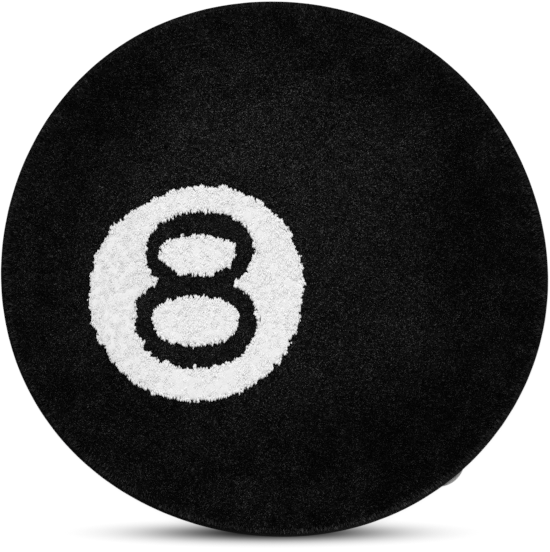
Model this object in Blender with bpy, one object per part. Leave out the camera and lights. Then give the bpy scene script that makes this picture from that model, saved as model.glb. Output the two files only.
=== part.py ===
"""Round cut-pile rug with a pool-ball motif, lying flat, pile up.

The rug is a tufted textile sandwich. From the floor up: a grip backing, a
secondary backing cloth, a coat of latex, the primary backing cloth that holds
the yarn, and the cut pile. The pile is five fields of yarn: the black ground,
the white roundel, the black figure eight, and the two white counters inside
the figure. A U-folded tape binds the rim of the sandwich, one lockstitch seam
(a needle thread and a bobbin thread) holds the tape, and a blank folded care
label is caught under the tape.

Frame: metres, +Z up, origin at the middle of the underside, which rests on
the floor. +Y is the top of the figure eight and +X its right-hand side.
"""

import math

import bmesh
import bpy

# ------------------------------------------------------------------------ rim
RUG_RADIUS = 0.400  # mean radius of the bound rim
# The rim wavers slowly about the true circle:
# (waves per turn, height of a wave, where one of them peaks in degrees)
TRIM_WAVES = (
    (2, 0.0027, -41.0),
    (3, 0.0023, -35.0),
    (4, 0.0011, 41.0),
    (5, 0.0008, -11.0),
    (6, 0.0003, -4.0),
)
RIM_SEGMENTS = 80

# --------------------------------------------------- thicknesses and clearances
GAP = 0.0003                # between neighbouring layers
HALF_YARN_GAP = 0.0008 / 2  # each field's share of the gap between two fields

GRIP_THICKNESS = 0.0022
SECONDARY_THICKNESS = 0.0010
LATEX_THICKNESS = 0.0010
PRIMARY_THICKNESS = 0.0010
TAPE_THICKNESS = 0.0010
THREAD_THICKNESS = 0.0006
LABEL_THICKNESS = 0.0004

# ------------------------------------------------------------ stack of heights
SECONDARY_Z = GRIP_THICKNESS + GAP
LATEX_Z = SECONDARY_Z + SECONDARY_THICKNESS + GAP
PRIMARY_Z = LATEX_Z + LATEX_THICKNESS + GAP
PRIMARY_TOP = PRIMARY_Z + PRIMARY_THICKNESS
YARN_Z = PRIMARY_TOP + GAP
TAPE_BOTTOM = SECONDARY_Z - GAP - TAPE_THICKNESS
TAPE_TOP = PRIMARY_TOP + GAP + TAPE_THICKNESS
NEEDLE_Z = TAPE_TOP + GAP
OVERHANG_Z = NEEDLE_Z + THREAD_THICKNESS + GAP  # where the pile clears the seam
BOBBIN_Z = TAPE_BOTTOM - GAP - THREAD_THICKNESS
LABEL_Z = TAPE_BOTTOM - GAP - LABEL_THICKNESS
PILE_TOP = 0.0190

# --------------------------------------- distances inwards from the bound rim
GRIP_INSET = 0.0165
CLOTH_INSET = 0.0018
SEAM_INSET = 0.0055
YARN_ROOT_INSET = 0.0080
PILE_TOP_INSET = 0.0070
# Bulging outer edge of the pile: (inset, height above OVERHANG_Z)
PILE_BULGE = ((0.0035, 0.0004), (0.0012, 0.0040), (0.0025, 0.0078))

TAPE_LOWER_WIDTH = 0.0155
TAPE_UPPER_WIDTH = 0.0075
TAPE_BEVEL_INSET = 0.0004   # bevel along the outer corners of the fold
TAPE_BEVEL_HEIGHT = 0.0012

# ----------------------------------------------------------------- care label
LABEL_ANGLE = -50.0         # degrees from +X, seen from above
LABEL_WIDTH = 0.040
LABEL_ROOT_INSET = 0.0050   # where the label is caught under the tape
LABEL_CORNER_INSET = 0.0006
LABEL_BOW = 0.0044          # how far the fold bows outwards from its corners
LABEL_STEPS = 12

# ---------------------------------------------------------------------- motif
ROUNDEL_CENTRE = (-0.1128, -0.0379)
ROUNDEL_RADIUS = 0.1592
ROUNDEL_WAVES = ((2, 0.0030, 58.0), (3, 0.0019, 53.0), (4, 0.0009, -34.0))

# The figure eight is two stacked superellipses that share a middle bar.
# (centre x, centre y, half width, half height, exponent, turn in degrees, taper)
# A taper of 0.1 makes the top 10 % wider and the bottom 10 % narrower.
EIGHT_UPPER = (-0.1094, 0.0212, 0.0798, 0.0617, 1.95, 6.5, 0.06)
EIGHT_LOWER = (-0.1152, -0.0818, 0.0882, 0.0671, 2.20, -4.0, 0.07)
COUNTERS = {
    "upper": (-0.1124, 0.0176, 0.0563, 0.0304, 2.15, 1.5, 0.16),
    "lower": (-0.1148, -0.0794, 0.0638, 0.0362, 2.45, 0.0, 0.06),
}
EIGHT_WAIST = (-0.1127, -0.0277)  # lies inside both loops
EIGHT_SEGMENTS = 88
COUNTER_SEGMENTS = 40
CUTTER_OVERSHOOT = 0.004    # how far a cutter passes the pile, above and below

RAY_LIMIT = 0.3             # longer than any ray from inside the motif to an edge
RAY_HALVINGS = 40

# -------------------------------------------------------------------- finishes
BLACK_PILE = {"colour": (0.012, 0.012, 0.013), "roughness": 0.85}
WHITE_PILE = {"colour": (0.80, 0.80, 0.79), "roughness": 0.90}
GRIP = {"colour": (0.45, 0.45, 0.44), "roughness": 0.75}
SECONDARY_CLOTH = {"colour": (0.42, 0.41, 0.39), "roughness": 0.95}
LATEX = {"colour": (0.70, 0.68, 0.60), "roughness": 0.55}
PRIMARY_CLOTH = {"colour": (0.06, 0.06, 0.06), "roughness": 0.90}
TAPE = {"colour": (0.014, 0.014, 0.015), "roughness": 0.70}
THREAD = {"colour": (0.020, 0.020, 0.022), "roughness": 0.60}
LABEL = {"colour": (0.62, 0.62, 0.61), "roughness": 0.60}
CUTTER = {"colour": (0.5, 0.5, 0.5), "roughness": 0.9}

SHARP_ANGLE = math.radians(35)  # edges that turn by more than this stay sharp


# ------------------------------------------------------------------- outlines
def waved(radius, waves, angle):
    """Radius at an angle of a circle that wavers slowly."""
    return radius + sum(
        height * math.cos(order * (angle - math.radians(peak)))
        for order, height, peak in waves
    )


def polar_point(centre, radius, angle):
    return centre[0] + radius * math.cos(angle), centre[1] + radius * math.sin(angle)


def bearing_from(centre, x, y):
    return math.atan2(y - centre[1], x - centre[0])


def turn_angles(segments):
    return [math.tau * i / segments for i in range(segments)]


def rim_point(angle, inset):
    return polar_point((0.0, 0.0), waved(RUG_RADIUS, TRIM_WAVES, angle) - inset, angle)


def rim_loop(inset):
    return [rim_point(angle, inset) for angle in turn_angles(RIM_SEGMENTS)]


def roundel_radius(angle):
    return waved(ROUNDEL_RADIUS, ROUNDEL_WAVES, angle)


def inside_roundel_field(x, y):
    """Whether a point lies within the outer edge of the white roundel's yarn."""
    distance = math.hypot(x - ROUNDEL_CENTRE[0], y - ROUNDEL_CENTRE[1])
    bearing = bearing_from(ROUNDEL_CENTRE, x, y)
    return distance < roundel_radius(bearing) - HALF_YARN_GAP


def inside_superellipse(x, y, shape, grow):
    centre_x, centre_y, half_width, half_height, power, turn, taper = shape
    cosine, sine = math.cos(math.radians(turn)), math.sin(math.radians(turn))
    across = (x - centre_x) * cosine + (y - centre_y) * sine
    along = -(x - centre_x) * sine + (y - centre_y) * cosine
    width = (half_width + grow) * (1 + taper * along / half_height)
    if width <= 0:
        return False
    return abs(across / width) ** power + abs(along / (half_height + grow)) ** power < 1


def ray_to_edge(start, angle, inside):
    """Distance from a point inside a shape to its edge, by halving."""
    near, far = 0.0, RAY_LIMIT
    for _ in range(RAY_HALVINGS):
        middle = (near + far) / 2
        if inside(*polar_point(start, middle, angle)):
            near = middle
        else:
            far = middle
    return near


def star_loop(start, inside, segments):
    """Outline of a shape seen from a point inside it, anticlockwise."""
    return [
        polar_point(start, ray_to_edge(start, angle, inside), angle)
        for angle in turn_angles(segments)
    ]


def eight_loop(grow):
    def inside(x, y):
        return any(inside_superellipse(x, y, part, grow) for part in (EIGHT_UPPER, EIGHT_LOWER))

    return star_loop(EIGHT_WAIST, inside, EIGHT_SEGMENTS)


def counter_loop(shape, grow):
    def inside(x, y):
        return inside_superellipse(x, y, shape, grow)

    return star_loop(shape[:2], inside, COUNTER_SEGMENTS)


# -------------------------------------------------------- materials and solids
def make_material(name, colour, roughness):
    made = bpy.data.materials.new(name)
    made.use_nodes = True
    shader = made.node_tree.nodes["Principled BSDF"]
    shader.inputs["Base Color"].default_value = (*colour, 1.0)
    shader.inputs["Roughness"].default_value = roughness
    made.diffuse_color = (*colour, 1.0)
    return made


def add_object(name, solid, finish):
    """Turns a bmesh into an object whose material bears the same name."""
    mesh = bpy.data.meshes.new(name)
    bmesh.ops.recalc_face_normals(solid, faces=solid.faces)
    solid.to_mesh(mesh)
    solid.free()
    made = bpy.data.objects.new(name, mesh)
    bpy.context.scene.collection.objects.link(made)
    mesh.materials.append(make_material(name, **finish))
    mesh.shade_smooth()
    mesh.set_sharp_from_angle(angle=SHARP_ANGLE)
    return made


def add_prism(name, loop, low, high, finish):
    """A flat-topped solid that stands on an outline."""
    solid = bmesh.new()
    base = solid.faces.new([solid.verts.new((x, y, low)) for x, y in loop])
    raised = bmesh.ops.extrude_face_region(solid, geom=[base])
    tops = [part for part in raised["geom"] if isinstance(part, bmesh.types.BMVert)]
    bmesh.ops.translate(solid, verts=tops, vec=(0, 0, high - low))
    return add_object(name, solid, finish)


def add_hoop(name, section, finish):
    """A closed ring: each entry of the section is an outline and its height."""
    solid = bmesh.new()
    rows = [[solid.verts.new((x, y, z)) for x, y in loop] for loop, z in section]
    for row, following in zip(rows, rows[1:] + rows[:1]):
        for i in range(len(row)):
            j = (i + 1) % len(row)
            solid.faces.new((row[i], row[j], following[j], following[i]))
    return add_object(name, solid, finish)


def add_flat_ring(name, inner, outer, low, high, finish):
    """A ring with a rectangular section."""
    section = [(inner, low), (outer, low), (outer, high), (inner, high)]
    return add_hoop(name, section, finish)


def cut_holes(target, cutters):
    """Cuts each cutter right through the target and leaves it as a guide."""
    for cutter in cutters:
        cutter.hide_render = True
        cutter.display_type = "WIRE"
        boolean = target.modifiers.new(cutter.name, "BOOLEAN")
        boolean.operation = "DIFFERENCE"
        boolean.solver = "EXACT"
        boolean.object = cutter


# --------------------------------------------------------------------- pieces
def build_backing():
    """The grip backing, on the floor, and the three wider layers above it."""
    for name, inset, low, thickness, finish in (
        ("grip_backing", GRIP_INSET, 0.0, GRIP_THICKNESS, GRIP),
        ("secondary_backing_cloth", CLOTH_INSET, SECONDARY_Z, SECONDARY_THICKNESS,
         SECONDARY_CLOTH),
        ("latex_adhesive_coat", CLOTH_INSET, LATEX_Z, LATEX_THICKNESS, LATEX),
        ("primary_backing_cloth", CLOTH_INSET, PRIMARY_Z, PRIMARY_THICKNESS, PRIMARY_CLOTH),
    ):
        add_prism(name, rim_loop(inset), low, low + thickness, finish)


def build_ground():
    """The black ground, rooted inside the tape. Its outer edge leans out over
    the tape and rolls in again at the top; its inner edge faces the roundel."""
    inner = []
    for x, y in rim_loop(0.0):
        bearing = bearing_from(ROUNDEL_CENTRE, x, y)
        radius = roundel_radius(bearing) + HALF_YARN_GAP
        inner.append(polar_point(ROUNDEL_CENTRE, radius, bearing))
    root = rim_loop(YARN_ROOT_INSET)
    section = [
        (inner, YARN_Z),
        (root, YARN_Z),
        (root, OVERHANG_Z),
        *((rim_loop(inset), OVERHANG_Z + rise) for inset, rise in PILE_BULGE),
        (rim_loop(PILE_TOP_INSET), PILE_TOP),
        (inner, PILE_TOP),
    ]
    add_hoop("black_ground_pile", section, BLACK_PILE)


def build_roundel():
    """The white roundel, round the figure eight. Both of its edges are seen
    from the waist of the eight, so that their points pair up."""
    hole = eight_loop(HALF_YARN_GAP)
    edge = star_loop(EIGHT_WAIST, inside_roundel_field, EIGHT_SEGMENTS)
    add_flat_ring("white_roundel_pile", hole, edge, YARN_Z, PILE_TOP, WHITE_PILE)


def build_figure_eight():
    """The black figure, a solid on its outline with both counters cut out."""
    outline = eight_loop(-HALF_YARN_GAP)
    figure = add_prism("black_numeral_pile", outline, YARN_Z, PILE_TOP, BLACK_PILE)
    cutters = [
        add_prism(
            f"{place}_counter_cutter",
            counter_loop(shape, HALF_YARN_GAP),
            YARN_Z - CUTTER_OVERSHOOT,
            PILE_TOP + CUTTER_OVERSHOOT,
            CUTTER,
        )
        for place, shape in COUNTERS.items()
    ]
    cut_holes(figure, cutters)


def build_counters():
    """The white yarn that fills the two holes of the figure."""
    for place, shape in COUNTERS.items():
        outline = counter_loop(shape, -HALF_YARN_GAP)
        add_prism(f"white_{place}_counter_pile", outline, YARN_Z, PILE_TOP, WHITE_PILE)


def build_tape():
    """The binding: one band folded into a U round the rim of the cloths."""
    lower_edge, upper_edge = rim_loop(TAPE_LOWER_WIDTH), rim_loop(TAPE_UPPER_WIDTH)
    bevel, rim = rim_loop(TAPE_BEVEL_INSET), rim_loop(0.0)
    fold_inside = rim_loop(CLOTH_INSET - GAP)
    section = [
        (lower_edge, TAPE_BOTTOM),
        (bevel, TAPE_BOTTOM),
        (rim, TAPE_BOTTOM + TAPE_BEVEL_HEIGHT),
        (rim, TAPE_TOP - TAPE_BEVEL_HEIGHT),
        (bevel, TAPE_TOP),
        (upper_edge, TAPE_TOP),
        (upper_edge, TAPE_TOP - TAPE_THICKNESS),
        (fold_inside, TAPE_TOP - TAPE_THICKNESS),
        (fold_inside, TAPE_BOTTOM + TAPE_THICKNESS),
        (lower_edge, TAPE_BOTTOM + TAPE_THICKNESS),
    ]
    add_hoop("edge_binding_tape", section, TAPE)


def build_seam():
    """The needle thread on the tape's upper leg, the bobbin thread under its
    lower leg."""
    outer, inner = rim_loop(SEAM_INSET), rim_loop(SEAM_INSET + THREAD_THICKNESS)
    for name, low in (("binding_needle_thread", NEEDLE_Z), ("binding_bobbin_thread", BOBBIN_Z)):
        add_flat_ring(name, inner, outer, low, low + THREAD_THICKNESS, THREAD)


def build_label():
    """A blank folded tape whose fold bows out past the rim."""
    half_angle = LABEL_WIDTH / 2 / RUG_RADIUS
    fold, root = [], []
    for i in range(LABEL_STEPS + 1):
        across = -1 + 2 * i / LABEL_STEPS
        angle = math.radians(LABEL_ANGLE) + half_angle * across
        reach = LABEL_BOW * (1 - across**2) - LABEL_CORNER_INSET
        fold.append(rim_point(angle, -reach))
        root.append(rim_point(angle, LABEL_ROOT_INSET))
    outline = fold + root[::-1]
    add_prism("blank_care_label", outline, LABEL_Z, LABEL_Z + LABEL_THICKNESS, LABEL)


for old in list(bpy.data.objects):
    bpy.data.objects.remove(old, do_unlink=True)

build_backing()
build_ground()
build_roundel()
build_figure_eight()
build_counters()
build_tape()
build_seam()
build_label()
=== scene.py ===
"""A round tufted rug that lies flat on the floor, its pile up and its middle near x = y = 0.

The ground is black, with a white roundel left of the middle (-X) that holds a black figure
eight, upright along +Y. Every strand of pile is a mesh. A stitched tape binds the rim, the
underside is grip felt with rubber dots, and a small blank label stands out of the rim.
"""

import math
from types import SimpleNamespace

import bpy
import numpy as np
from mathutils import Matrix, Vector
from mathutils.kdtree import KDTree


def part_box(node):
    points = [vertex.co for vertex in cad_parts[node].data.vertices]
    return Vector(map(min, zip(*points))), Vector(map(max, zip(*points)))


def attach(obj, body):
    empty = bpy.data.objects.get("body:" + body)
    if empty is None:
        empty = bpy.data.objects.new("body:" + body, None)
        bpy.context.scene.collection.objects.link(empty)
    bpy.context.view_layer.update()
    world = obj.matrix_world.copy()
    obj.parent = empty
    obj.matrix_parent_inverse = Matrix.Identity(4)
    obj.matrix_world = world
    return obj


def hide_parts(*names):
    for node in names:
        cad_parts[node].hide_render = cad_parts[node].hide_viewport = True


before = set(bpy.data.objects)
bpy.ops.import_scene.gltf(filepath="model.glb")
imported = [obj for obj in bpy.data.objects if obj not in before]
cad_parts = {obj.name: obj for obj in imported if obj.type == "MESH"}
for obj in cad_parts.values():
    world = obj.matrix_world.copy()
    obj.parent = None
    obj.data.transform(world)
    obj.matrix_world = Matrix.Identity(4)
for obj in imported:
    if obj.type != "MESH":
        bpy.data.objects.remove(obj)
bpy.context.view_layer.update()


# ------------------------------------------------------------------ the design
def low_of(node):
    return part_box(node)[0].z


def high_of(node):
    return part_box(node)[1].z


FLOOR_Z = low_of("grip_backing")
GRIP_TOP = high_of("grip_backing")
ROOT_Z = low_of("black_ground_pile")
PILE_TOP = high_of("black_ground_pile")
TAPE_LOW = low_of("edge_binding_tape")
TAPE_HIGH = high_of("edge_binding_tape")
NEEDLE_LOW = low_of("binding_needle_thread")
BOBBIN_LOW = low_of("binding_bobbin_thread")
THREAD = high_of("binding_needle_thread") - NEEDLE_LOW
LABEL_LOW = low_of("blank_care_label")

# Waves on a round outline: (count round the circle, height, bearing of a crest in degrees).
RUG_RADIUS = 0.400
TRIM_WAVES = (
    (2, 0.0027, -41.0), (3, 0.0023, -35.0), (4, 0.0011, 41.0), (5, 0.0008, -11.0),
    (6, 0.0003, -4.0),
)
ROUNDEL_CENTRE = (-0.1128, -0.0379)
ROUNDEL_RADIUS = 0.1592
ROUNDEL_WAVES = ((2, 0.0030, 58.0), (3, 0.0019, 53.0), (4, 0.0009, -34.0))

# Superellipses: (centre x, centre y, half width, half height, power, turn in degrees, taper).
EIGHT_UPPER = (-0.1094, 0.0212, 0.0798, 0.0617, 1.95, 6.5, 0.06)
EIGHT_LOWER = (-0.1152, -0.0818, 0.0882, 0.0671, 2.20, -4.0, 0.07)
COUNTER_UPPER = (-0.1124, 0.0176, 0.0563, 0.0304, 2.15, 1.5, 0.16)
COUNTER_LOWER = (-0.1148, -0.0794, 0.0638, 0.0362, 2.45, 0.0, 0.06)

# Insets are measured inward from the bound rim.
GRIP_INSET = 0.0165
TAPE_LOWER_WIDTH = 0.0155
TAPE_UPPER_WIDTH = 0.0075
SEAM_INSET = 0.0055
YARN_ROOT_INSET = 0.0080

STITCHES = 700
RIM_LENGTH = 2.513
GRID_HALF = RUG_RADIUS + 0.01     # half side of the square grids laid over the rug
NOISE_HALF = 0.48                 # half side of the square that noise covers


# -------------------------------------------------------------------- outlines
def waved(radius, waves, angle):
    return radius + sum(
        height * np.cos(count * (angle - math.radians(crest))) for count, height, crest in waves
    )


def inset_of(x, y):
    """How far inside the bound rim a point lies."""
    return waved(RUG_RADIUS, TRIM_WAVES, np.arctan2(y, x)) - np.hypot(x, y)


def rim_xy(angle, inset):
    radius = waved(RUG_RADIUS, TRIM_WAVES, angle) - inset
    return radius * np.cos(angle), radius * np.sin(angle)


def in_roundel(x, y, grow=0.0):
    from_x, from_y = x - ROUNDEL_CENTRE[0], y - ROUNDEL_CENTRE[1]
    outline = waved(ROUNDEL_RADIUS, ROUNDEL_WAVES, np.arctan2(from_y, from_x))
    return np.hypot(from_x, from_y) < outline + grow


def in_superellipse(x, y, shape, grow):
    centre_x, centre_y, half_width, half_height, power, turn, taper = shape
    half_width, half_height = half_width + grow, half_height + grow
    cos, sin = math.cos(math.radians(turn)), math.sin(math.radians(turn))
    across = (x - centre_x) * cos + (y - centre_y) * sin
    up = -(x - centre_x) * sin + (y - centre_y) * cos
    width = np.maximum(half_width * (1 + taper * up / half_height), 1e-4)
    return np.abs(across / width) ** power + np.abs(up / half_height) ** power < 1


def in_eight(x, y, grow=0.0):
    return in_superellipse(x, y, EIGHT_UPPER, grow) | in_superellipse(x, y, EIGHT_LOWER, grow)


def in_upper_counter(x, y, grow=0.0):
    return in_superellipse(x, y, COUNTER_UPPER, grow)


def in_lower_counter(x, y, grow=0.0):
    return in_superellipse(x, y, COUNTER_LOWER, grow)


GROUND, ROUNDEL, NUMERAL, UPPER, LOWER = range(5)
NODE = {
    GROUND: "black_ground_pile",
    ROUNDEL: "white_roundel_pile",
    NUMERAL: "black_numeral_pile",
    UPPER: "white_upper_counter_pile",
    LOWER: "white_lower_counter_pile",
}


def zone_of(x, y, test=lambda shape, x, y: shape(x, y)):
    """The field of yarn a point belongs to. A test may look at each outline in its own way."""
    zone = np.full(x.shape, GROUND)
    inside = test(in_roundel, x, y)
    zone[inside] = ROUNDEL
    zone[inside & test(in_eight, x, y)] = NUMERAL
    zone[inside & test(in_upper_counter, x, y)] = UPPER
    zone[inside & test(in_lower_counter, x, y)] = LOWER
    return zone


def is_black(zone):
    return (zone == GROUND) | (zone == NUMERAL)


# --------------------------------------------------------------- number helpers
def compass(count):
    """Unit steps (x, y) in evenly spaced directions."""
    angles = [math.tau * k / count for k in range(count)]
    return [(math.cos(angle), math.sin(angle)) for angle in angles]


def noise(x, y, cell, seed, parts=1):
    """Smooth value noise of a given wavelength, about -1 to 1, in one or more parts."""
    count = int(2 * NOISE_HALF / cell) + 4
    grid = np.random.default_rng(seed).uniform(-1, 1, (count, count, parts))
    place_x, place_y = (x + NOISE_HALF) / cell + 1, (y + NOISE_HALF) / cell + 1
    i = np.clip(np.floor(place_x).astype(int), 0, count - 2)
    j = np.clip(np.floor(place_y).astype(int), 0, count - 2)
    part_x, part_y = np.clip(place_x - i, 0, 1), np.clip(place_y - j, 0, 1)
    part_x = (part_x * part_x * (3 - 2 * part_x))[..., None]
    part_y = (part_y * part_y * (3 - 2 * part_y))[..., None]
    out = (
        grid[i, j] * (1 - part_x) * (1 - part_y)
        + grid[i + 1, j] * part_x * (1 - part_y)
        + grid[i, j + 1] * (1 - part_x) * part_y
        + grid[i + 1, j + 1] * part_x * part_y
    )
    return out[..., 0] if parts == 1 else out


def smooth_step(low, high, value):
    t = np.clip((value - low) / (high - low), 0, 1)
    return t * t * (3 - 2 * t)


def triangular_grid(pitch, half):
    rows = np.arange(-half, half, pitch * math.sqrt(3) / 2)
    columns = np.arange(-half, half, pitch)
    y, x = np.meshgrid(rows, columns, indexing="ij")
    x = x + (np.arange(len(rows)) % 2)[:, None] * pitch / 2
    return x.ravel(), y.ravel()


def jittered_grid(pitch, jitter, seed):
    """A loose triangular grid over the whole rug; jitter is a share of the pitch."""
    rng = np.random.default_rng(seed)
    x, y = triangular_grid(pitch, GRID_HALF)
    x = x + rng.uniform(-jitter, jitter, x.size) * pitch
    y = y + rng.uniform(-jitter, jitter, y.size) * pitch
    return x, y


def search_tree(x, y):
    tree = KDTree(len(x))
    for k in range(len(x)):
        tree.insert((x[k], y[k], 0), k)
    tree.balance()
    return tree


# -------------------------------------------------------------- shader helpers
class Shader:
    """The node tree of a material or world. A value given to a socket may be another's output."""

    def __init__(self, owner):
        self.owner = owner
        owner.use_nodes = True
        self.tree = owner.node_tree

    def put(self, socket, value):
        if isinstance(value, bpy.types.NodeSocket):
            self.tree.links.new(value, socket)
        else:
            socket.default_value = value

    def add(self, kind, *values, **settings):
        """A new node. Settings name its properties or sockets; values fill sockets in order."""
        node = self.tree.nodes.new("ShaderNode" + kind)
        for key, value in settings.items():
            if key in node.inputs:
                self.put(node.inputs[key], value)
            else:
                setattr(node, key, value)
        for socket, value in zip(node.inputs, values):
            self.put(socket, value)
        return node

    def fill(self, node_name, inputs):
        """Fills sockets of a node that is already there."""
        for key, value in inputs.items():
            self.put(self.tree.nodes[node_name].inputs[key], value)
        return self.owner

    def uv(self, layer):
        return self.add("UVMap", uv_map=layer).outputs["UV"]

    def object_place(self):
        return self.add("TexCoord").outputs["Object"]

    def noise(self, vector, **settings):
        return self.add("TexNoise", vector, **settings).outputs["Fac"]

    def wave(self, vector, direction, **settings):
        node = self.add(
            "TexWave", vector, wave_type="BANDS", bands_direction=direction, **settings
        )
        return node.outputs["Fac"]

    def ramp(self, factor, stops):
        """Colours blended along stops of (position, colour)."""
        node = self.add("ValToRGB", factor)
        elements = node.color_ramp.elements
        while len(elements) > 1:
            elements.remove(elements[-1])
        elements[0].position, elements[0].color = stops[0][0], (*stops[0][1], 1)
        for position, colour in stops[1:]:
            elements.new(position).color = (*colour, 1)
        return node.outputs["Color"]

    def map_range(self, value, source, target, kind="LINEAR"):
        names = ("From Min", "From Max", "To Min", "To Max")
        ends = dict(zip(names, (*source, *target)))
        node = self.add("MapRange", value, interpolation_type=kind, **ends)
        return node.outputs["Result"]

    def math(self, operation, first, second):
        return self.add("Math", first, second, operation=operation).outputs[0]

    def scaled(self, vector, factor):
        node = self.add("VectorMath", vector, operation="SCALE", Scale=factor)
        return node.outputs["Vector"]

    def mix(self, factor, first, second):
        node = self.add("Mix", data_type="FLOAT", Factor=factor, A=first, B=second)
        return node.outputs["Result"]

    def bump(self, height, strength, distance):
        node = self.add("Bump", Strength=strength, Distance=distance, Height=height)
        return node.outputs["Normal"]


def new_shader(name):
    return Shader(bpy.data.materials.new(name))


def grey(value):
    return (value, value, value)


# ---------------------------------------------------------------- mesh helpers
def copies_of(plan, count, stride):
    """The triangles of one small part, repeated for every copy of it."""
    return (np.arange(count)[:, None, None] * stride + np.array(plan)[None]).reshape(-1, 3)


def fill_uvs(layer, uvs):
    layer.data.foreach_set("uv", np.ascontiguousarray(uvs, np.float32).ravel())


def make_piece(name, verts, faces, material, node, uvs=None):
    """A smooth mesh object from arrays. Faces all have the same number of corners.

    The map holds one place for each vertex or one for each face corner.
    """
    mesh = bpy.data.meshes.new(name)
    mesh.vertices.add(len(verts))
    mesh.vertices.foreach_set("co", np.ascontiguousarray(verts, np.float32).ravel())
    mesh.loops.add(faces.size)
    mesh.loops.foreach_set("vertex_index", np.ascontiguousarray(faces, np.int32).ravel())
    mesh.polygons.add(len(faces))
    starts = np.arange(0, faces.size, faces.shape[1], dtype=np.int32)
    mesh.polygons.foreach_set("loop_start", starts)
    mesh.update(calc_edges=True)
    if uvs is not None:
        by_corner = uvs[faces.ravel()] if len(uvs) == len(verts) else uvs
        fill_uvs(mesh.uv_layers.new(name="OFBake"), by_corner)
    mesh.polygons.foreach_set("use_smooth", np.full(len(faces), True))
    mesh.validate(clean_customdata=False)
    mesh.materials.append(material)
    made = bpy.data.objects.new(name, mesh)
    bpy.context.scene.collection.objects.link(made)
    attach(made, "root")
    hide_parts(node)
    return made


# ------------------------------------------------------------------------ yarn
def yarn_material(name, stops, painted_root_level, sheen, specular, tip_roughness):
    """Pile yarn. The map's U is the strand's own shade, its V runs up the yarn and darkens it
    toward the roots as painted shade.
    """
    shader = new_shader(name)
    place = shader.uv("OFBake")
    split = shader.add("SeparateXYZ", place)
    shade, height = split.outputs["X"], split.outputs["Y"]
    colour = shader.ramp(shade, stops)
    fibres = shader.noise(place, Scale=34.0, Detail=3.0, Roughness=0.65)
    fleck = shader.map_range(fibres, (0, 1), (0.80, 1.20))
    # Painted shade: the yarn is darker toward its roots, where the pile shades it.
    painted_root_shade = shader.map_range(height, (0.10, 0.80), (painted_root_level, 1.0), "SMOOTHSTEP")
    light = shader.math("MULTIPLY", fleck, painted_root_shade)
    return shader.fill("Principled BSDF", {
        "Base Color": shader.scaled(colour, light),
        "Roughness": shader.map_range(height, (0, 1), (0.98, tip_roughness)),
        "Specular IOR Level": specular,
        "Sheen Weight": sheen,
        "Sheen Roughness": 0.45,
    })


BLACK = yarn_material(
    "black_pile_yarn",
    # Each stop is brighter than the last by the same factor.
    stops=[(k / 8, grey(0.0009 * math.exp(5.0 * k / 8))) for k in range(9)],
    painted_root_level=0.24, sheen=0.0, specular=0.0, tip_roughness=0.55,
)
WHITE = yarn_material(
    "white_pile_yarn",
    stops=[(0.0, grey(0.64)), (0.5, grey(0.735)), (1.0, grey(0.83))],
    painted_root_level=0.94, sheen=0.10, specular=0.25, tip_roughness=0.80,
)


def yarn_of(zone):
    return (BLACK, "black_yarn") if is_black(zone) else (WHITE, "white_yarn")


# ------------------------------------------------------------------------ pile
TUFT_PITCH = 0.0038
TUFT_JITTER = 0.34          # share of the pitch
WHITE_SWELL = 0.0016
STRANDS = 4                 # cut ends that bloom from one tuft
FILLING = 3                 # more ends in white tufts and along a change of colour
WISPS = 3                   # finer ends that stray where two colours meet
BORDER_REACH = 0.0065       # how far a tuft looks for the other colour
BORDER_TUFT = 0.15          # nearness from which a tuft counts as on the border
TOOTH_REACH = 0.011         # how far from an outline its lobes and teeth may reach
GROUND_PIECES = 12
ROUNDEL_PIECES = 6

# Broad painted light and shade of the lay of the black pile: (x, y, spread, shade).
PAINTED_LAY_PATCHES = (
    (-0.234, 0.376, 0.100, -0.120), (-0.124, 0.328, 0.096, 0.090),
    (0.261, 0.055, 0.058, -0.140), (0.188, -0.130, 0.050, 0.090),
    (0.198, -0.161, 0.100, -0.110), (0.010, -0.340, 0.060, 0.018),
)
LOCK_SEEDS = {in_roundel: 1155, in_eight: 1243, in_upper_counter: 1160, in_lower_counter: 1245}

# A strand runs through four points: foot, middle, upper and tip. Its rings are
# (place along those points, radius, height in the map).
FINE_YARN = ((0, 0.00042, 0.03), (1, 0.00080, 0.52), (2, 0.00068, 0.84))
FULL_YARN = (
    (0, 0.00060, 0.10), (1, 0.00110, 0.52), (2, 0.00135, 0.84), (2.72, 0.00105, 0.95),
)


def painted_lay_light(x, y):
    """Painted light and shade of the black pile's lay, 0 to 1: a light middle, softly blotched."""
    radius = np.hypot(x - 0.002, (y - 0.023) / 0.89)
    outer = smooth_step(0.194, 0.358, radius)
    shade = 0.525 + 0.131 * (1 - outer)
    for patch_x, patch_y, spread, lift in PAINTED_LAY_PATCHES:
        square = (x - patch_x) ** 2 + (y - patch_y) ** 2
        shade = shade + lift * np.exp(-square / (2 * spread**2))
    # Painted blotches of light and shade from the lay, stronger away from the middle.
    painted_blotches = 0.03 * noise(x, y, cell=0.050, seed=6) + 0.055 * noise(x, y, cell=0.020, seed=7)
    return shade + painted_blotches * (0.5 + 0.6 * outer)


def pulled(x, y, pitch, seed, pull, long):
    """Points drawn part of the way to the middle of their lock, an oval group of yarn.

    Pull is the part of the way, long is how much longer than wide a lock is.
    """
    rng = np.random.default_rng(seed)
    lock_x, lock_y = jittered_grid(pitch, 0.45, seed + 1)
    lie = rng.uniform(0, math.pi, lock_x.size)
    size = rng.uniform(0.8, 1.3, lock_x.size)
    tree = search_tree(lock_x, lock_y)
    out = np.empty((2, x.size))
    for i in range(x.size):
        nearest = 1e9
        for _, k, _ in tree.find_n((x[i], y[i], 0), 5):
            to_x, to_y = lock_x[k] - x[i], lock_y[k] - y[i]
            cos, sin = math.cos(lie[k]), math.sin(lie[k])
            along, across = to_x * cos + to_y * sin, to_y * cos - to_x * sin
            far = ((along / long) ** 2 + across**2) / size[k]
            if far < nearest:
                nearest = far
                out[:, i] = x[i] + pull * to_x, y[i] + pull * to_y
    return out


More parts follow.
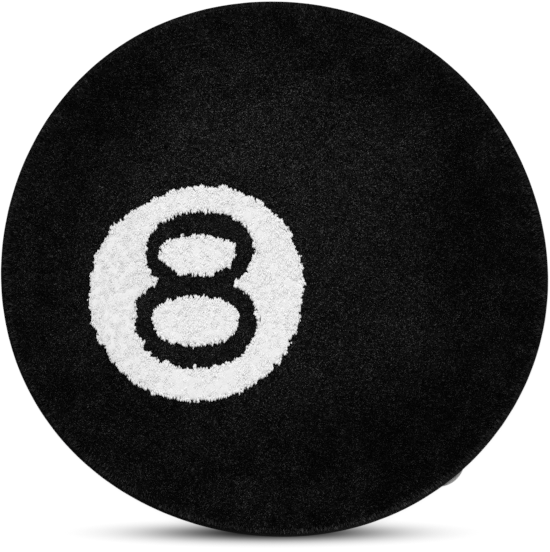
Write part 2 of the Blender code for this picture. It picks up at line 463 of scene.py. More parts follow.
def ragged(shape, x, y):
    """An outline as tufts show it: yarn changes colour lock by lock, in lobes and teeth."""
    inside = shape(x, y)
    near = np.zeros(x.size, bool)
    for step_x, step_y in compass(8):
        near |= shape(x + TOOTH_REACH * step_x, y + TOOTH_REACH * step_y) != inside
    seed = LOCK_SEEDS[shape]
    near_x, near_y = pulled(x[near], y[near], pitch=TUFT_PITCH, seed=seed, pull=0.80, long=2.1)
    near_x, near_y = pulled(near_x, near_y, pitch=0.0105, seed=seed + 10, pull=0.48, long=1.5)
    # White ends are fat, so their middles keep back from the outline.
    inside[near] = shape(near_x, near_y, WHITE_SWELL if shape is in_eight else -WHITE_SWELL)
    return inside


def colour_borders(x, y):
    """Which tufts are black, how near the other colour is (0 to 1), and the way to it."""
    black = is_black(zone_of(x, y))
    border = np.zeros(x.size)
    toward = np.zeros((x.size, 2))
    for step_x, step_y in compass(12):
        there = zone_of(x + BORDER_REACH * step_x, y + BORDER_REACH * step_y)
        other = is_black(there) != black
        border += other / 5
        toward += other[:, None] * np.array([step_x, step_y])
    toward = toward / np.maximum(np.hypot(*toward.T), 1e-6)[:, None]
    return black, np.minimum(border, 1), toward


def lay_tufts(rng):
    """Where each tuft stands, how it leans and how high it reaches."""
    x, y = jittered_grid(TUFT_PITCH, TUFT_JITTER, seed=81)
    keep = inset_of(x, y) > YARN_ROOT_INSET + 0.0004
    x, y = x[keep], y[keep]
    inset = inset_of(x, y)

    # Lay: a slow drift of the whole field, a lean of each lock of tufts, and chance.
    lock_x, lock_y = jittered_grid(0.0058, 0.40, seed=82)
    tree = search_tree(lock_x, lock_y)
    lock = np.array([tree.find((*place, 0))[1] for place in zip(x, y)])
    drift = (
        noise(x, y, cell=0.110, seed=21, parts=2) * 0.0010
        + noise(x, y, cell=0.030, seed=22, parts=2) * 0.0008
    )
    lock_lean = rng.normal(0, 0.0007, (lock_x.size, 2)) + [0, -0.0003]
    gather = rng.uniform(0.05, 0.30, lock_x.size)[lock][:, None]
    apex = np.stack([lock_x, lock_y], 1) + lock_lean
    root = np.stack([x, y], 1)
    lean = drift + gather * (apex[lock] - root) + (1 - gather) * lock_lean[lock]
    lean = lean + rng.normal(0, 0.0007, (x.size, 2))

    black, border, toward = colour_borders(x, y)

    # Near the rim the pile rolls out over the binding.
    edge = 1 - smooth_step(YARN_ROOT_INSET, YARN_ROOT_INSET + 0.020, inset)
    outward = root / np.maximum(np.hypot(x, y), 1e-6)[:, None]
    lean = lean + outward * (0.0070 * edge**1.3)[:, None]

    top = (
        PILE_TOP
        - 0.0008
        + 0.0004 * noise(x, y, cell=0.060, seed=31)
        + rng.normal(0, 0.0003, lock_x.size)[lock]
        - np.abs(rng.normal(0, 0.0006, x.size)) * np.where(black, 1.0, 0.4)
        - 0.0036 * edge**2
    )
    return SimpleNamespace(
        x=x, y=y, inset=inset, lean=lean, black=black, border=border, toward=toward,
        edge=edge, outward=outward, top=top,
    )


def strand_shades(rng, tufts, tuft, zone, low):
    """Shade of each strand, from 0 to 1 along the yarn's colour ramp, painted light and shade
    included.
    """
    x, y, border = tufts.x, tufts.y, tufts.border
    light = painted_lay_light(x, y)
    # Painted light: the rim's rolled edge is lighter toward -Y, and most at a bearing of -60
    # degrees.
    painted_rim_light = (
        0.05 * smooth_step(0.70, 0.88, tufts.outward @ [0.05, -0.999])
        + 0.13 * smooth_step(0.86, 0.96, tufts.outward @ [0.5, -0.866])
    )
    painted_rim_light = painted_rim_light * (1 - smooth_step(0.009, 0.016, tufts.inset))
    # Speckle of single strands: partly their own random tone, partly painted glints and gap shade;
    # less of it near the rim.
    speckle_and_painted_glints = np.clip(0.190 + 0.24 * (light - 0.50), 0.16, 0.24) * (1 - 0.4 * tufts.edge)
    # Painted shade darkens black yarn beside the white and the shorter strands at the rim; the
    # painted rim light is added.
    black_shade = (
        light[tuft] + rng.normal(0, 0.05, x.size)[tuft]
        - 0.04 * border[tuft] - 0.03 * low + painted_rim_light[tuft]
    )
    chance = np.clip(rng.normal(0, 1, tuft.size), -2.4, 1.15)
    black_shade = black_shade + chance * speckle_and_painted_glints[tuft] * np.where(zone == NUMERAL, 0.8, 1.0)
    # Painted shade: white yarn is darker toward -X. Painted light brightens it along the colour
    # border.
    white_shade = (
        0.57
        - 0.32 * (1 - smooth_step(-0.25, -0.13, x[tuft]))
        + 0.04 * noise(x, y, cell=0.03, seed=41)[tuft]
        + rng.normal(0, 0.10, x.size)[tuft]
        + rng.normal(0, 0.17, tuft.size)
        + 0.10 * border[tuft]
    )
    return np.clip(np.where(is_black(zone), black_shade, white_shade), 0.03, 0.97)


def grow_pile():
    """The line, shade and thickness of every strand."""
    rng = np.random.default_rng(88)
    tufts = lay_tufts(rng)
    count = tufts.x.size
    at_border = tufts.border > BORDER_TUFT

    # One row per strand; tufts near a change of colour also send out finer wisps.
    main = np.repeat(np.arange(count), STRANDS)
    filling = np.repeat(np.flatnonzero(~tufts.black | at_border), FILLING)
    wisps = np.repeat(np.flatnonzero(at_border), WISPS)
    tuft = np.concatenate([main, filling, wisps])
    total = tuft.size
    wisp = np.arange(total) >= main.size + filling.size
    turn = rng.uniform(0, math.tau, count)[tuft] + np.concatenate([
        np.tile(np.arange(STRANDS) * math.tau / STRANDS, count),
        rng.uniform(0, math.tau, filling.size + wisps.size),
    ])
    turn = turn + rng.normal(0, 0.35, total)
    spread = rng.uniform(0.55, 1.20, total)
    around = np.stack([np.cos(turn), np.sin(turn)], 1)
    foot = np.stack([tufts.x[tuft], tufts.y[tuft]], 1) + 0.0008 * around
    reach = np.where(wisp, 0.0016, 0.0013) * spread
    stray = np.where(wisp, rng.uniform(0, 0.0030, total), 0)
    stray = stray * np.where(tufts.black[tuft], 0.5, 1.0)
    tip = foot + tufts.lean[tuft] + around * reach[:, None] + rng.normal(0, 0.00045, foot.shape)
    # A wisp keeps the colour of the place it grows from, and strays over the other colour.
    zone = zone_of(tip[:, 0], tip[:, 1], ragged)
    black = is_black(zone)
    tip = tip + tufts.toward[tuft] * stray[:, None]
    tip_z = tufts.top[tuft] - np.abs(rng.normal(0, 0.0010, total)) * np.where(black, 1.0, 0.22)
    tip_z = tip_z + np.where(black, -0.0010, 0.0004) * tufts.border[tuft]

    # Some strands near the rim are shorter, so the pile's side is full as well.
    outward = tufts.outward[tuft]
    low = rng.uniform(0, 1, total) < 0.45 * tufts.edge[tuft]
    drop = rng.uniform(0.10, 0.62, total)
    tip_z = np.where(low, tip_z - drop * (PILE_TOP - ROOT_Z), tip_z)
    tip = tip + outward * np.where(low, 0.0028, 0.0)[:, None]
    # No yarn passes the bound rim.
    depth = inset_of(tip[:, 0], tip[:, 1])
    back = np.maximum(0.0012 + rng.uniform(0, 0.0009, total) - depth, 0)
    tip = tip - outward * back[:, None]
    tip_z = np.minimum(tip_z, PILE_TOP)

    # The middle of a strand rises higher where its tip hangs over the tape.
    over_tape = np.maximum(0, TAPE_UPPER_WIDTH + 0.001 - inset_of(tip[:, 0], tip[:, 1]))
    foot = np.concatenate([foot, np.full((total, 1), ROOT_Z + 0.0001)], 1)
    tip = np.concatenate([tip, tip_z[:, None]], 1)
    bend = rng.uniform(0.22, 0.36, total)
    rise = np.clip(0.56 + over_tape * 20, 0.56, 0.80)
    middle = foot + (tip - foot) * np.stack([bend, bend, rise], 1)
    middle = middle + rng.normal(0, 0.00022, middle.shape) * [1, 1, 0]
    upper = middle + (tip - middle) * rng.uniform(0.62, 0.80, total)[:, None]
    upper = upper + rng.normal(0, 0.00018, upper.shape) * [1, 1, 0]

    shade = strand_shades(rng, tufts, tuft, zone, low)
    thick = rng.uniform(0.80, 1.20, total)
    thick = thick * np.where(wisp, 0.60, 1.0) * np.where(black, 1.0, 1.05)
    twist = rng.uniform(0, math.tau, total)
    return SimpleNamespace(
        line=(foot, middle, upper, tip), shade=shade, zone=zone, thick=thick, twist=twist
    )


def strand_mesh(pile, pick, profile, sides, stretch):
    """Closed lengths of yarn that end in a cut tip. The stretch draws them out along Y."""
    total = len(pick)
    thick, twist, shade = pile.thick[pick], pile.twist[pick], pile.shade[pick]
    line = [points[pick] for points in pile.line]
    count = len(profile) * sides + 1
    verts = np.empty((total, count, 3))
    uvs = np.empty((total, count, 2))
    for row, (place, radius, height) in enumerate(profile):
        low = int(place)
        centre = line[low] + (line[low + 1] - line[low]) * (place - low)
        for k in range(sides):
            angle = twist + k * math.tau / sides + 0.5 * row
            flat = [np.cos(angle) / stretch, np.sin(angle) * stretch, np.zeros(total)]
            verts[:, sides * row + k] = centre + np.stack(flat, 1) * (radius * thick)[:, None]
            uvs[:, sides * row + k, 0] = shade + 0.012 * (k - 1)
            uvs[:, sides * row + k, 1] = height
    verts[:, -1] = line[3]
    uvs[:, -1, 0], uvs[:, -1, 1] = shade, 0.97

    plan = [(0, k + 1, k) for k in range(1, sides - 1)]
    last = (len(profile) - 1) * sides
    for k in range(sides):
        following = (k + 1) % sides
        for row in range(0, last, sides):
            here, beside = row + k, row + following
            plan += [(here, beside, beside + sides), (here, beside + sides, here + sides)]
        plan += [(last + k, last + following, count - 1)]
    return verts.reshape(-1, 3), copies_of(plan, total, count), uvs.reshape(-1, 2)


def tuft_pieces(pile, zone, node):
    """The strands of one field, split into sectors where there are many."""
    rows = np.flatnonzero(pile.zone == zone)
    parts = {GROUND: GROUND_PIECES, ROUNDEL: ROUNDEL_PIECES}.get(zone, 1)
    centre = (0.0, 0.0) if zone == GROUND else ROUNDEL_CENTRE
    foot = pile.line[0][rows]
    bearing = np.arctan2(foot[:, 1] - centre[1], foot[:, 0] - centre[0])
    rows = rows[np.argsort(bearing, kind="stable")]
    if is_black(zone):
        form = dict(profile=FINE_YARN, sides=3, stretch=1.08)
    else:
        form = dict(profile=FULL_YARN, sides=5, stretch=1.75)
    material, slot = yarn_of(zone)
    for k, pick in enumerate(np.array_split(rows, parts)):
        verts, faces, uvs = strand_mesh(pile, pick, **form)
        name = f"{node}_tufts" + (f"_{k + 1:02d}" if parts > 1 else "")
        make_piece(name, verts, faces, material, node, uvs)


def bed_piece(zone, node, depth, margin):
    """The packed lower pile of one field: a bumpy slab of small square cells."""
    cell = 0.0045
    side = int(2 * GRID_HALF / cell) + 1
    origin = -side * cell / 2
    i, j = np.meshgrid(np.arange(side), np.arange(side), indexing="ij")
    x, y = origin + (i + 0.5) * cell, origin + (j + 0.5) * cell
    inside = inset_of(x, y) > YARN_ROOT_INSET + 0.0035
    for step_x, step_y in compass(8):
        there = zone_of((x + margin * step_x).ravel(), (y + margin * step_y).ravel())
        inside &= there.reshape(x.shape) == zone

    i, j = np.meshgrid(np.arange(side + 1), np.arange(side + 1), indexing="ij")
    x, y = origin + i * cell, origin + j * cell
    edge = 1 - smooth_step(YARN_ROOT_INSET, YARN_ROOT_INSET + 0.022, inset_of(x, y))
    z = (
        PILE_TOP - depth
        + 0.0006 * noise(x, y, cell=0.0078, seed=23)
        + 0.0006 * noise(x, y, cell=0.0045, seed=51)
        - 0.0022 * edge
    )
    count = (side + 1) * (side + 1)
    index = np.arange(count).reshape(side + 1, side + 1)
    verts = np.concatenate([
        np.stack([x.ravel(), y.ravel(), z.ravel()], 1),
        np.stack([x.ravel(), y.ravel(), np.full(count, ROOT_Z)], 1),
    ])

    i, j = np.nonzero(inside)
    corners = (index[i, j], index[i + 1, j], index[i + 1, j + 1], index[i, j + 1])
    top = np.stack(corners, 1)
    faces = [top, top[:, [0, 3, 2, 1]] + count]
    padded = np.pad(inside, 1)
    # Walls: the neighbour's step in i and j, and the two corners they share.
    for step_i, step_j, start, end in ((-1, 0, 3, 0), (1, 0, 1, 2), (0, -1, 0, 1), (0, 1, 2, 3)):
        is_open = ~padded[i + 1 + step_i, j + 1 + step_j]
        start, end = corners[start][is_open], corners[end][is_open]
        faces.append(np.stack([end, start, start + count, end + count], 1))
    faces = np.concatenate(faces)
    used, renumbered = np.unique(faces, return_inverse=True)
    verts, faces = verts[used], renumbered.reshape(faces.shape)

    rng = np.random.default_rng(52)
    # The black bed carries the painted lay light and shade; its low height in the map gives it the
    # yarn's painted root shade.
    shade = painted_lay_light(verts[:, 0], verts[:, 1]) if is_black(zone) else 0.40
    shade = shade + rng.uniform(-0.03, 0.03, len(verts))
    uvs = np.stack([shade, rng.uniform(0.22, 0.30, len(verts))], 1)
    make_piece(f"{node}_bed", verts, faces, yarn_of(zone)[0], node, uvs)


pile = grow_pile()
for zone, node in NODE.items():
    tuft_pieces(pile, zone, node)
for zone, node in NODE.items():
    if is_black(zone):
        bed_piece(zone, node, depth=0.0060, margin=0.0)
    else:
        bed_piece(zone, node, depth=0.0017, margin=0.0042)


# --------------------------------------------------------------- binding tape
TAPE_THICK = 0.0010
FOLD_DEPTH = 0.0022           # how far the rounded fold reaches in from the rim
FOLD_INNER_INSET = 0.0014
TAPE_YARN = 0.0030            # length of one unit of the weave map
TURNS_PER_STITCH = 3
BAKE_ROWS = 8


def tape_material():
    shader = new_shader("binding_tape_weave")
    weave = shader.uv("tape")
    ribs = shader.wave(weave, "DIAGONAL", Scale=1.0, Distortion=0.6, Detail=1.0)
    lint = shader.noise(weave, Scale=2.5, Detail=4.0)
    cloth = shader.mix(0.45, ribs, lint)
    tone = shader.ramp(cloth, [(0.25, grey(0.0012)), (0.75, grey(0.0068))])
    # Painted light: the tape is lighter toward +X, and lighter still at a bearing of -60 degrees.
    place = shader.object_place()
    split = shader.add("SeparateXYZ", place)
    corner = shader.add("VectorMath", place, (0.5, -0.866, 0.0), operation="DOT_PRODUCT")
    across = shader.map_range(split.outputs["X"], (-0.4, 0.4), (0.65, 1.25))
    along = shader.map_range(corner.outputs["Value"], (0.28, 0.40), (1.0, 2.2))
    painted_tape_light = shader.math("MULTIPLY", across, along)
    return shader.fill("Principled BSDF", {
        "Base Color": shader.scaled(tone, painted_tape_light),
        "Normal": shader.bump(cloth, strength=0.5, distance=0.00015),
        "Roughness": shader.map_range(cloth, (0, 1), (0.9, 0.62)),
        "Specular IOR Level": 0.03,
    })


def tape_outline():
    """The tape's outer face, from under the rug round the fold to the top.

    Rows are (inset, height, share of the dip added to the inset, share taken off the height).
    """
    middle, half = (TAPE_LOW + TAPE_HIGH) / 2, (TAPE_HIGH - TAPE_LOW) / 2
    rows = []
    for t in np.linspace(0, 1, 6):
        rows.append((TAPE_LOWER_WIDTH * (1 - t) + FOLD_DEPTH * t, TAPE_LOW, 0, -1))
    for t in np.linspace(0, 1, 9)[1:-1]:
        angle = -math.pi / 2 + math.pi * t
        cos, sin = math.cos(angle), math.sin(angle)
        rows.append((FOLD_DEPTH - FOLD_DEPTH * cos, middle + half * sin, -cos, sin))
    for t in np.linspace(0, 1, 4):
        rows.append((FOLD_DEPTH * (1 - t) + TAPE_UPPER_WIDTH * t, TAPE_HIGH, 0, 1))
    return rows


def binding_tape():
    """The folded tape, with a shallow pucker at every stitch."""
    turns = STITCHES * TURNS_PER_STITCH
    angle = np.arange(turns) * math.tau / turns
    outline = tape_outline()
    inner = [
        (TAPE_UPPER_WIDTH, TAPE_HIGH - TAPE_THICK), (FOLD_DEPTH, TAPE_HIGH - TAPE_THICK),
        (FOLD_INNER_INSET, (TAPE_LOW + TAPE_HIGH) / 2),
        (FOLD_DEPTH, TAPE_LOW + TAPE_THICK), (TAPE_LOWER_WIDTH, TAPE_LOW + TAPE_THICK),
    ]
    around = len(outline) + len(inner)
    verts = np.zeros((turns, around, 3))
    phase = np.arange(turns) % TURNS_PER_STITCH / TURNS_PER_STITCH * math.tau
    pucker = 0.5 + 0.5 * np.cos(phase)
    wander = noise(0.38 * np.cos(angle), 0.38 * np.sin(angle), cell=0.012, seed=61) * 0.00012
    for k, (inset, z, inward, upward) in enumerate(outline):
        near_seam = np.exp(-(((inset - SEAM_INSET) / 0.0022) ** 2))
        dip = pucker * (0.00022 * near_seam + 0.00008) - wander
        verts[:, k, 0], verts[:, k, 1] = rim_xy(angle, inset + inward * dip)
        verts[:, k, 2] = z - upward * dip
    for k, (inset, z) in enumerate(inner, len(outline)):
        verts[:, k] = np.stack([*rim_xy(angle, inset), np.full(turns, z)], 1)

    turn = np.repeat(np.arange(turns), around)
    place = np.tile(np.arange(around), turns)
    next_turn, next_place = (turn + 1) % turns, (place + 1) % around
    faces = np.stack([
        turn * around + place, next_turn * around + place,
        next_turn * around + next_place, turn * around + next_place,
    ], 1)

    closed = np.vstack([verts[0], verts[0, :1]])
    girth = np.cumsum(np.linalg.norm(np.diff(closed, axis=0), axis=1))
    girth = np.concatenate([[0], girth])
    corner_turn = np.stack([turn, turn + 1, turn + 1, turn], 1).ravel()
    corner_girth = girth[np.stack([place, place, place + 1, place + 1], 1).ravel()]
    # Bake map: the long strip laid in rows.
    row = np.repeat(turn * BAKE_ROWS // turns, 4)
    bake_u = (corner_turn / turns * BAKE_ROWS - row) * 0.98 + 0.01
    bake_v = (row + 0.04 + 0.92 * corner_girth / girth[-1]) / BAKE_ROWS
    made = make_piece(
        "edge_binding_tape_woven", verts.reshape(-1, 3), faces, tape_material(),
        "edge_binding_tape", np.stack([bake_u, bake_v], 1),
    )
    # Weave map: along the rim and across the tape.
    weave = [corner_turn / turns * RIM_LENGTH / TAPE_YARN, corner_girth / TAPE_YARN]
    fill_uvs(made.data.uv_layers.new(name="tape"), np.stack(weave, 1))


binding_tape()


# --------------------------------------------------------------------- stitches
STITCH_RINGS = 7
STITCH_SIDES = 6
STITCH_HALF = 0.46            # half a stitch's length, as a share of the stitch pitch
STITCH_SINK = 0.0002          # how far both rows are shifted toward the tape


def thread_material():
    shader = new_shader("sewing_thread_twist")
    twist = shader.wave(shader.uv("OFBake"), "DIAGONAL", Scale=6.0, Distortion=0.5)
    tone = shader.ramp(twist, [(0.1, (0.006, 0.006, 0.0065)), (0.9, (0.034, 0.034, 0.036))])
    return shader.fill("Principled BSDF", {
        "Base Color": tone,
        "Roughness": 0.55,
        "Specular IOR Level": 0.4,
    })


def stitch_row(name, node, low, side, material):
    """A row of short twisted lengths whose ends dive into the tape. Side is 1 above, -1 below."""
    rings, sides = STITCH_RINGS, STITCH_SIDES
    bearing = np.arange(STITCHES) * math.tau / STITCHES
    places = np.linspace(-1, 1, rings)
    verts = np.zeros((STITCHES, rings, sides, 3))
    thread_radius = THREAD / 2
    half_angle = RIM_LENGTH / STITCHES * STITCH_HALF / RUG_RADIUS
    slip = np.random.default_rng(71).normal(0, 0.00008, STITCHES)
    for k, place in enumerate(places):
        angle = bearing + half_angle * place
        dive = abs(place) ** 4 * thread_radius * 1.3
        radius = thread_radius * (0.98 - 0.45 * abs(place) ** 3)
        x, y = rim_xy(angle, SEAM_INSET + thread_radius + slip)
        z = low + thread_radius - side * dive
        for m in range(sides):
            turn = math.tau * m / sides + 0.9 * place
            out = radius * math.cos(turn)
            verts[:, k, m, 0] = x + np.cos(angle) * out
            verts[:, k, m, 1] = y + np.sin(angle) * out
            verts[:, k, m, 2] = z + radius * math.sin(turn)
    verts = verts.reshape(STITCHES, -1, 3)
    caps = np.stack([verts[:, :sides].mean(1), verts[:, -sides:].mean(1)], 1)
    verts = np.concatenate([verts, caps], 1)

    plan = []
    end = rings * sides
    last = end - sides
    for row in range(0, last, sides):
        for m in range(sides):
            here, beside = row + m, row + (m + 1) % sides
            plan += [(beside + sides, beside, here), (here + sides, beside + sides, here)]
    for m in range(sides):
        following = (m + 1) % sides
        plan += [(m, following, end), (last + following, last + m, end + 1)]
    faces = copies_of(plan, STITCHES, end + 2)
    across = np.concatenate([np.tile(np.arange(sides) / sides, rings), [0.5, 0.5]])
    along = np.concatenate([np.repeat((places + 1) / 2, sides), [0.0, 1.0]])
    uvs = np.tile(np.stack([0.05 + 0.9 * across, 0.05 + 0.9 * along], 1), (STITCHES, 1))
    make_piece(name, verts.reshape(-1, 3), faces, material, node, uvs)


thread = thread_material()
stitch_row(
    "binding_needle_stitches", "binding_needle_thread", NEEDLE_LOW - STITCH_SINK, 1, thread
)
stitch_row(
    "binding_bobbin_stitches", "binding_bobbin_thread", BOBBIN_LOW + STITCH_SINK, -1, thread
)


# ----------------------------------------------------------------- grip backing
FELT_LIFT = 0.0006            # the felt's underside above the floor
FELT_ROLL = 0.0003            # each of two steps up at the felt's edge
FELT_TURNS = 360
FELT_RINGS = 60
FELT_HOLE = 0.02              # reach of the first ring, as a share of the rim's
DOT_PITCH = 0.0092
DOT_RADIUS = 0.00150
DOT_SIDES = 8


def grip_material():
    shader = new_shader("grip_felt")
    place = shader.object_place()
    hair = shader.noise(place, Scale=260.0, Detail=6.0, Roughness=0.7)
    cloud = shader.noise(place, Scale=14.0, Detail=3.0)
    felt = shader.mix(0.3, hair, cloud)
    return shader.fill("Principled BSDF", {
        "Base Color": shader.ramp(felt, [(0.30, (0.26, 0.26, 0.255)), (0.70, (0.50, 0.50, 0.49))]),
        "Normal": shader.bump(hair, strength=0.6, distance=0.0003),
        "Roughness": 0.95,
    })


def dot_material():
    shader = new_shader("grip_dot_rubber")
    wear = shader.noise(shader.uv("OFBake"), Scale=9.0, Detail=3.0)
    return shader.fill("Principled BSDF", {
        "Base Color": shader.ramp(wear, [(0.3, grey(0.30)), (0.7, (0.42, 0.42, 0.415))]),
        "Roughness": 0.48,
    })


def grip_sheet():
    """Felt sheet with a rolled edge and a faint quilted unevenness."""
    turns = FELT_TURNS
    rim_x, rim_y = rim_xy(np.arange(turns) * math.tau / turns, GRIP_INSET)
    low, high = FLOOR_Z + FELT_LIFT, GRIP_TOP
    rings = []
    for reach in [*np.linspace(FELT_HOLE, 0.985, FELT_RINGS), 0.995, 1.0]:
        x, y = rim_x * reach, rim_y * reach
        z = low + 0.00012 * noise(x, y, cell=0.011, seed=91)
        z = z + (FELT_ROLL if reach > 0.99 else 0) + (FELT_ROLL if reach == 1.0 else 0)
        rings.append(np.stack([x, y, z], 1))
    for reach in (1.0, FELT_HOLE):
        rings.append(np.stack([rim_x * reach, rim_y * reach, np.full(turns, high)], 1))
    verts = np.concatenate(rings + [[[0, 0, low]], [[0, 0, high]]])

    i = np.arange(turns)
    j = (i + 1) % turns
    last = (len(rings) - 1) * turns
    faces = []
    for start in range(0, last, turns):
        end = start + turns
        quad = np.stack([start + i, end + i, end + j, start + j], 1)
        faces += [quad[:, [0, 2, 1]], quad[:, [0, 3, 2]]]
    under, over = len(verts) - 2, len(verts) - 1
    faces += [
        np.stack([np.full(turns, under), j, i], 1),
        np.stack([np.full(turns, over), last + i, last + j], 1),
    ]
    # The hidden top shares a small corner of the map.
    uvs = (verts[:, :2] + 0.42) / 0.84
    uvs[verts[:, 2] > high - 1e-6] *= 0.02
    make_piece(
        "grip_backing_felt", verts, np.concatenate(faces), grip_material(),
        "grip_backing", uvs,
    )


def grip_dots():
    """Low rubber domes in a triangular grid; their tops are what meets the floor."""
    sides = DOT_SIDES
    x, y = triangular_grid(DOT_PITCH, RUG_RADIUS)
    keep = inset_of(x, y) > GRIP_INSET + 0.004
    x, y = x[keep], y[keep]
    count = x.size
    size = DOT_RADIUS * np.random.default_rng(93).uniform(0.92, 1.06, count)
    verts = np.empty((count, 2 * sides + 1, 3))
    # Two rings of each dome: (share of its radius, height above the floor).
    for ring, (share, lift) in enumerate(((1.0, 0.0008), (0.66, 0.0001))):
        for m, (cos, sin) in enumerate(compass(sides)):
            level = np.full(count, FLOOR_Z + lift)
            place = [x + size * share * cos, y + size * share * sin, level]
            verts[:, ring * sides + m] = np.stack(place, 1)
    verts[:, 2 * sides] = np.stack([x, y, np.full(count, FLOOR_Z)], 1)
    plan = []
    for m in range(sides):
        following = (m + 1) % sides
        plan += [
            (m, sides + following, following), (m, sides + m, sides + following),
            (sides + m, 2 * sides, sides + following),
        ]
    plan += [(0, m, m + 1) for m in range(1, sides - 1)]
    angle = np.arange(sides) / sides * math.tau
    circle = np.stack([np.cos(angle), np.sin(angle)], 1)
    uvs = np.tile(np.concatenate([0.45 * circle, 0.28 * circle, [[0, 0]]]) + 0.5, (count, 1))
    make_piece(
        "grip_backing_dots", verts.reshape(-1, 3), copies_of(plan, count, 2 * sides + 1),
        dot_material(), "grip_backing", uvs,
    )


grip_sheet()
grip_dots()


# ------------------------------------------------------------------- care label
LABEL_ANGLE = math.radians(-50.0)
LABEL_WIDTH = 0.040
LABEL_ROOT_INSET = 0.0050
LABEL_REACH = 0.0044
LABEL_THICK = 0.00016
LABEL_CORNER = 0.0006         # how far the corners stay inside the rim


def label_material():
    shader = new_shader("care_label_satin")
    threads = shader.noise(shader.object_place(), Scale=900.0, Detail=2.0)
    tone = shader.ramp(threads, [(0.3, (0.33, 0.33, 0.325)), (0.7, (0.44, 0.44, 0.435))])
    return shader.fill("Principled BSDF", {
        "Base Color": tone,
        "Normal": shader.bump(threads, strength=0.3, distance=0.0001),
        "Roughness": 0.5,
        "Sheen Weight": 0.2,
    })


def label_leaf(name, reach, low, lift, material):
    """One leaf of the label: thin and blank, its free edge bowed out and curled up."""
    across, along = 25, 9
    side, out = np.meshgrid(np.linspace(-1, 1, across), np.linspace(0, 1, along), indexing="ij")
    angle = LABEL_ANGLE + LABEL_WIDTH / 2 / RUG_RADIUS * side
    bow = (reach + LABEL_CORNER) * (1 - side**2) - LABEL_CORNER
    x, y = rim_xy(angle, LABEL_ROOT_INSET * (1 - out) - bow * out)
    z = low + lift * out**2 * (1 - 0.6 * side**2) + 0.0001 * np.sin(5 * side) * out
    top = np.stack([x, y, z + LABEL_THICK], -1).reshape(-1, 3)
    under = np.stack([x, y, z], -1).reshape(-1, 3)
    count = across * along
    index = np.arange(count).reshape(across, along)
    corners = [index[:-1, :-1], index[1:, :-1], index[1:, 1:], index[:-1, 1:]]
    quads = np.stack(corners, -1).reshape(-1, 4)
    rim = np.concatenate([index[:, 0], index[-1, 1:], index[-2::-1, -1], index[0, -2:0:-1]])
    after = np.roll(rim, -1)
    wall = np.stack([rim, after, after + count, rim + count], 1)
    faces = np.concatenate([quads[:, ::-1], quads + count, wall])
    verts = np.concatenate([top, under])
    make_piece(name, verts, faces, material, "blank_care_label")


satin = label_material()
label_leaf("care_label_lower_leaf", LABEL_REACH, LABEL_LOW, lift=0.0, material=satin)
label_leaf(
    "care_label_upper_leaf", LABEL_REACH * 0.55, LABEL_LOW + 0.00022, lift=0.0006, material=satin
)


# ------------------------------------------- cloths and latex, inside the sandwich
def weave_material(name, dark, light, scale, roughness):
    shader = new_shader(name)
    place = shader.object_place()
    warp = shader.wave(place, "X", Scale=scale)
    weft = shader.wave(place, "Y", Scale=scale)
    cross = shader.math("MULTIPLY", warp, weft)
    return shader.fill("Principled BSDF", {
        "Base Color": shader.ramp(cross, [(0.1, dark), (0.8, light)]),
        "Normal": shader.bump(cross, strength=0.5, distance=0.0002),
        "Roughness": roughness,
    })


def latex_material():
    shader = new_shader("latex_foam")
    foam = shader.add("TexVoronoi", shader.object_place(), Scale=300.0).outputs["Distance"]
    return shader.fill("Principled BSDF", {
        "Base Color": shader.ramp(foam, [(0.0, (0.52, 0.50, 0.42)), (0.6, (0.74, 0.72, 0.64))]),
        "Roughness": 0.6,
    })


scrim = weave_material(
    "secondary_scrim", dark=(0.30, 0.29, 0.27), light=(0.50, 0.49, 0.46),
    scale=160.0, roughness=0.95,
)
cloth = weave_material(
    "primary_cloth_weave", dark=grey(0.02), light=grey(0.09), scale=200.0, roughness=0.9
)
for node, material, slot in (
    ("secondary_backing_cloth", scrim, "backing_cloth"),
    ("primary_backing_cloth", cloth, "primary_cloth"),
    ("latex_adhesive_coat", latex_material(), "latex"),
):
    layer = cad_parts[node]
    layer.data.materials.clear()
    layer.data.materials.append(material)


# ------------------------------------------------------------------------ stage
FLOOR_HALF = 3.0
# Painted shadows in the floor's colour and glow: the one under the rim's -Y side, and the ring
# round the rim.
SHADE_AT = (-0.0030, -0.3901)      # soft contact shade under the rim's -Y side
SHADE_SPREAD = (0.1110, 0.0083)
SHADE_DEPTH = 0.90
RING_RADII = (0.378, 0.432)        # the contact shade all round fades out between these
RING_DEPTH = 0.50
ABOVE_Z = (0.75, 0.95)             # upward part of the view direction, low to steep


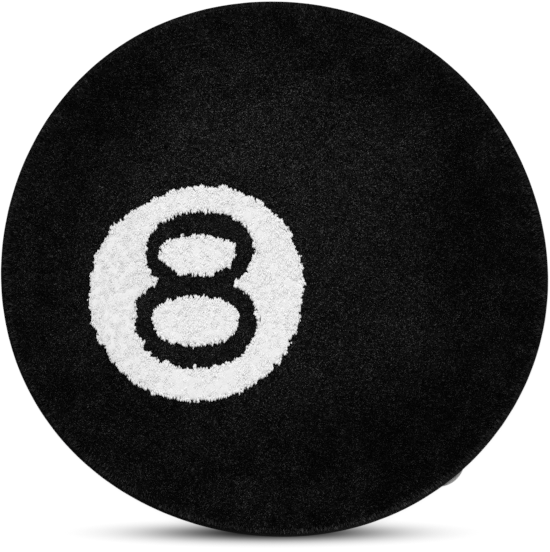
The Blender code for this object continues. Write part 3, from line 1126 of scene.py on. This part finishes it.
def floor_material():
    """A glowing paper sweep. A painted soft shadow lies along the rim's -Y side, in its colour and
    its glow.
    """
    shader = new_shader("floor_paper")
    split = shader.add("SeparateXYZ", shader.object_place())
    squares = []
    for axis, middle, spread in zip("XY", SHADE_AT, SHADE_SPREAD):
        away = shader.math("SUBTRACT", split.outputs[axis], middle)
        share = shader.math("DIVIDE", away, spread * math.sqrt(2))
        squares.append(shader.math("MULTIPLY", share, share))
    bell = shader.math("POWER", math.exp(-1), shader.math("ADD", *squares))

    # A low camera sees a plain painted contact shadow round the whole rim instead.
    flat = shader.add("CombineXYZ", X=split.outputs["X"], Y=split.outputs["Y"])
    radius = shader.add("VectorMath", flat.outputs["Vector"], operation="LENGTH")
    ring = shader.map_range(
        radius.outputs["Value"], RING_RADII, (RING_DEPTH, 0.0), "SMOOTHSTEP"
    )
    geometry = shader.add("NewGeometry")
    gaze = shader.add("SeparateXYZ", geometry.outputs["Incoming"])
    from_above = shader.map_range(gaze.outputs["Z"], ABOVE_Z, (0, 1))
    is_camera = shader.add("LightPath").outputs["Is Camera Ray"]
    steep = shader.mix(is_camera, 1.0, from_above)
    shade = shader.mix(steep, ring, shader.math("MULTIPLY", bell, SHADE_DEPTH))
    light = shader.math("POWER", shader.math("SUBTRACT", 1.0, shade), 2.2)
    shader.fill("Principled BSDF", {
        "Base Color": shader.scaled(grey(0.10), light),
        "Roughness": 0.9,
        "Specular IOR Level": 0.0,
        "Emission Color": (1, 1, 1, 1),
        "Emission Strength": shader.math("MULTIPLY", light, 0.93),
    })
    # Seen from below, the floor is clear, so that the underside can be looked at.
    paper = shader.tree.nodes["Principled BSDF"].outputs[0]
    clear = shader.add("BsdfTransparent").outputs[0]
    either = shader.add("MixShader", geometry.outputs["Backfacing"], paper, clear)
    return shader.fill("Material Output", {"Surface": either.outputs[0]})


def floor():
    mesh = bpy.data.meshes.new("floor")
    corners = [(x * FLOOR_HALF, y * FLOOR_HALF) for x, y in ((-1, -1), (1, -1), (1, 1), (-1, 1))]
    mesh.from_pydata([(x, y, FLOOR_Z - 0.0001) for x, y in corners], [], [(0, 1, 2, 3)])
    made = bpy.data.objects.new("floor", mesh)
    bpy.context.scene.collection.objects.link(made)
    mesh.materials.append(floor_material())


def place_aimed(name, data, place, target):
    """A lamp or camera that looks at a point."""
    made = bpy.data.objects.new(name, data)
    made.location = place
    made.rotation_mode = "QUATERNION"
    made.rotation_quaternion = (target - place).to_track_quat("-Z", "Y")
    bpy.context.scene.collection.objects.link(made)
    return made


def key_softbox():
    data = bpy.data.lights.new("key_softbox", "AREA")
    data.shape = "DISK"
    data.size = 1.9
    data.energy = 180.0
    place_aimed("key_softbox", data, place=Vector((-0.9, 3.4, 4.9)), target=Vector((0, 0, 0)))


def studio_world():
    """Even white light, a little brighter to the camera than to the rug."""
    world = bpy.data.worlds.new("studio")
    bpy.context.scene.world = world
    shader = Shader(world)
    is_camera = shader.add("LightPath").outputs["Is Camera Ray"]
    strength = shader.mix(is_camera, 0.86, 1.05)
    shader.fill("Background", {"Color": (1, 1, 1, 1), "Strength": strength})


# A long lens looks almost straight down, tilted a little from the -Y side.
ELEVATION = math.radians(79.0)
DISTANCE = 30.0
VIEW_WIDTH = 0.8034
SENSOR_WIDTH = 36.0
AIM = Vector((0.0007, -0.0108, 0.010))


def camera():
    data = bpy.data.cameras.new("camera")
    data.sensor_fit = "HORIZONTAL"
    data.sensor_width = SENSOR_WIDTH
    data.lens = SENSOR_WIDTH / 2 / (VIEW_WIDTH / 2 / DISTANCE)
    data.clip_end = 200.0
    place = AIM + Vector((0, -math.cos(ELEVATION), math.sin(ELEVATION))) * DISTANCE
    bpy.context.scene.camera = place_aimed("camera", data, place, AIM)


floor()
key_softbox()
studio_world()
camera()
bpy.context.scene.view_settings.view_transform = "Standard"
bpy.context.scene.view_settings.look = "None"
bpy.context.scene.cycles.use_denoising = False  # it would smear the yarn
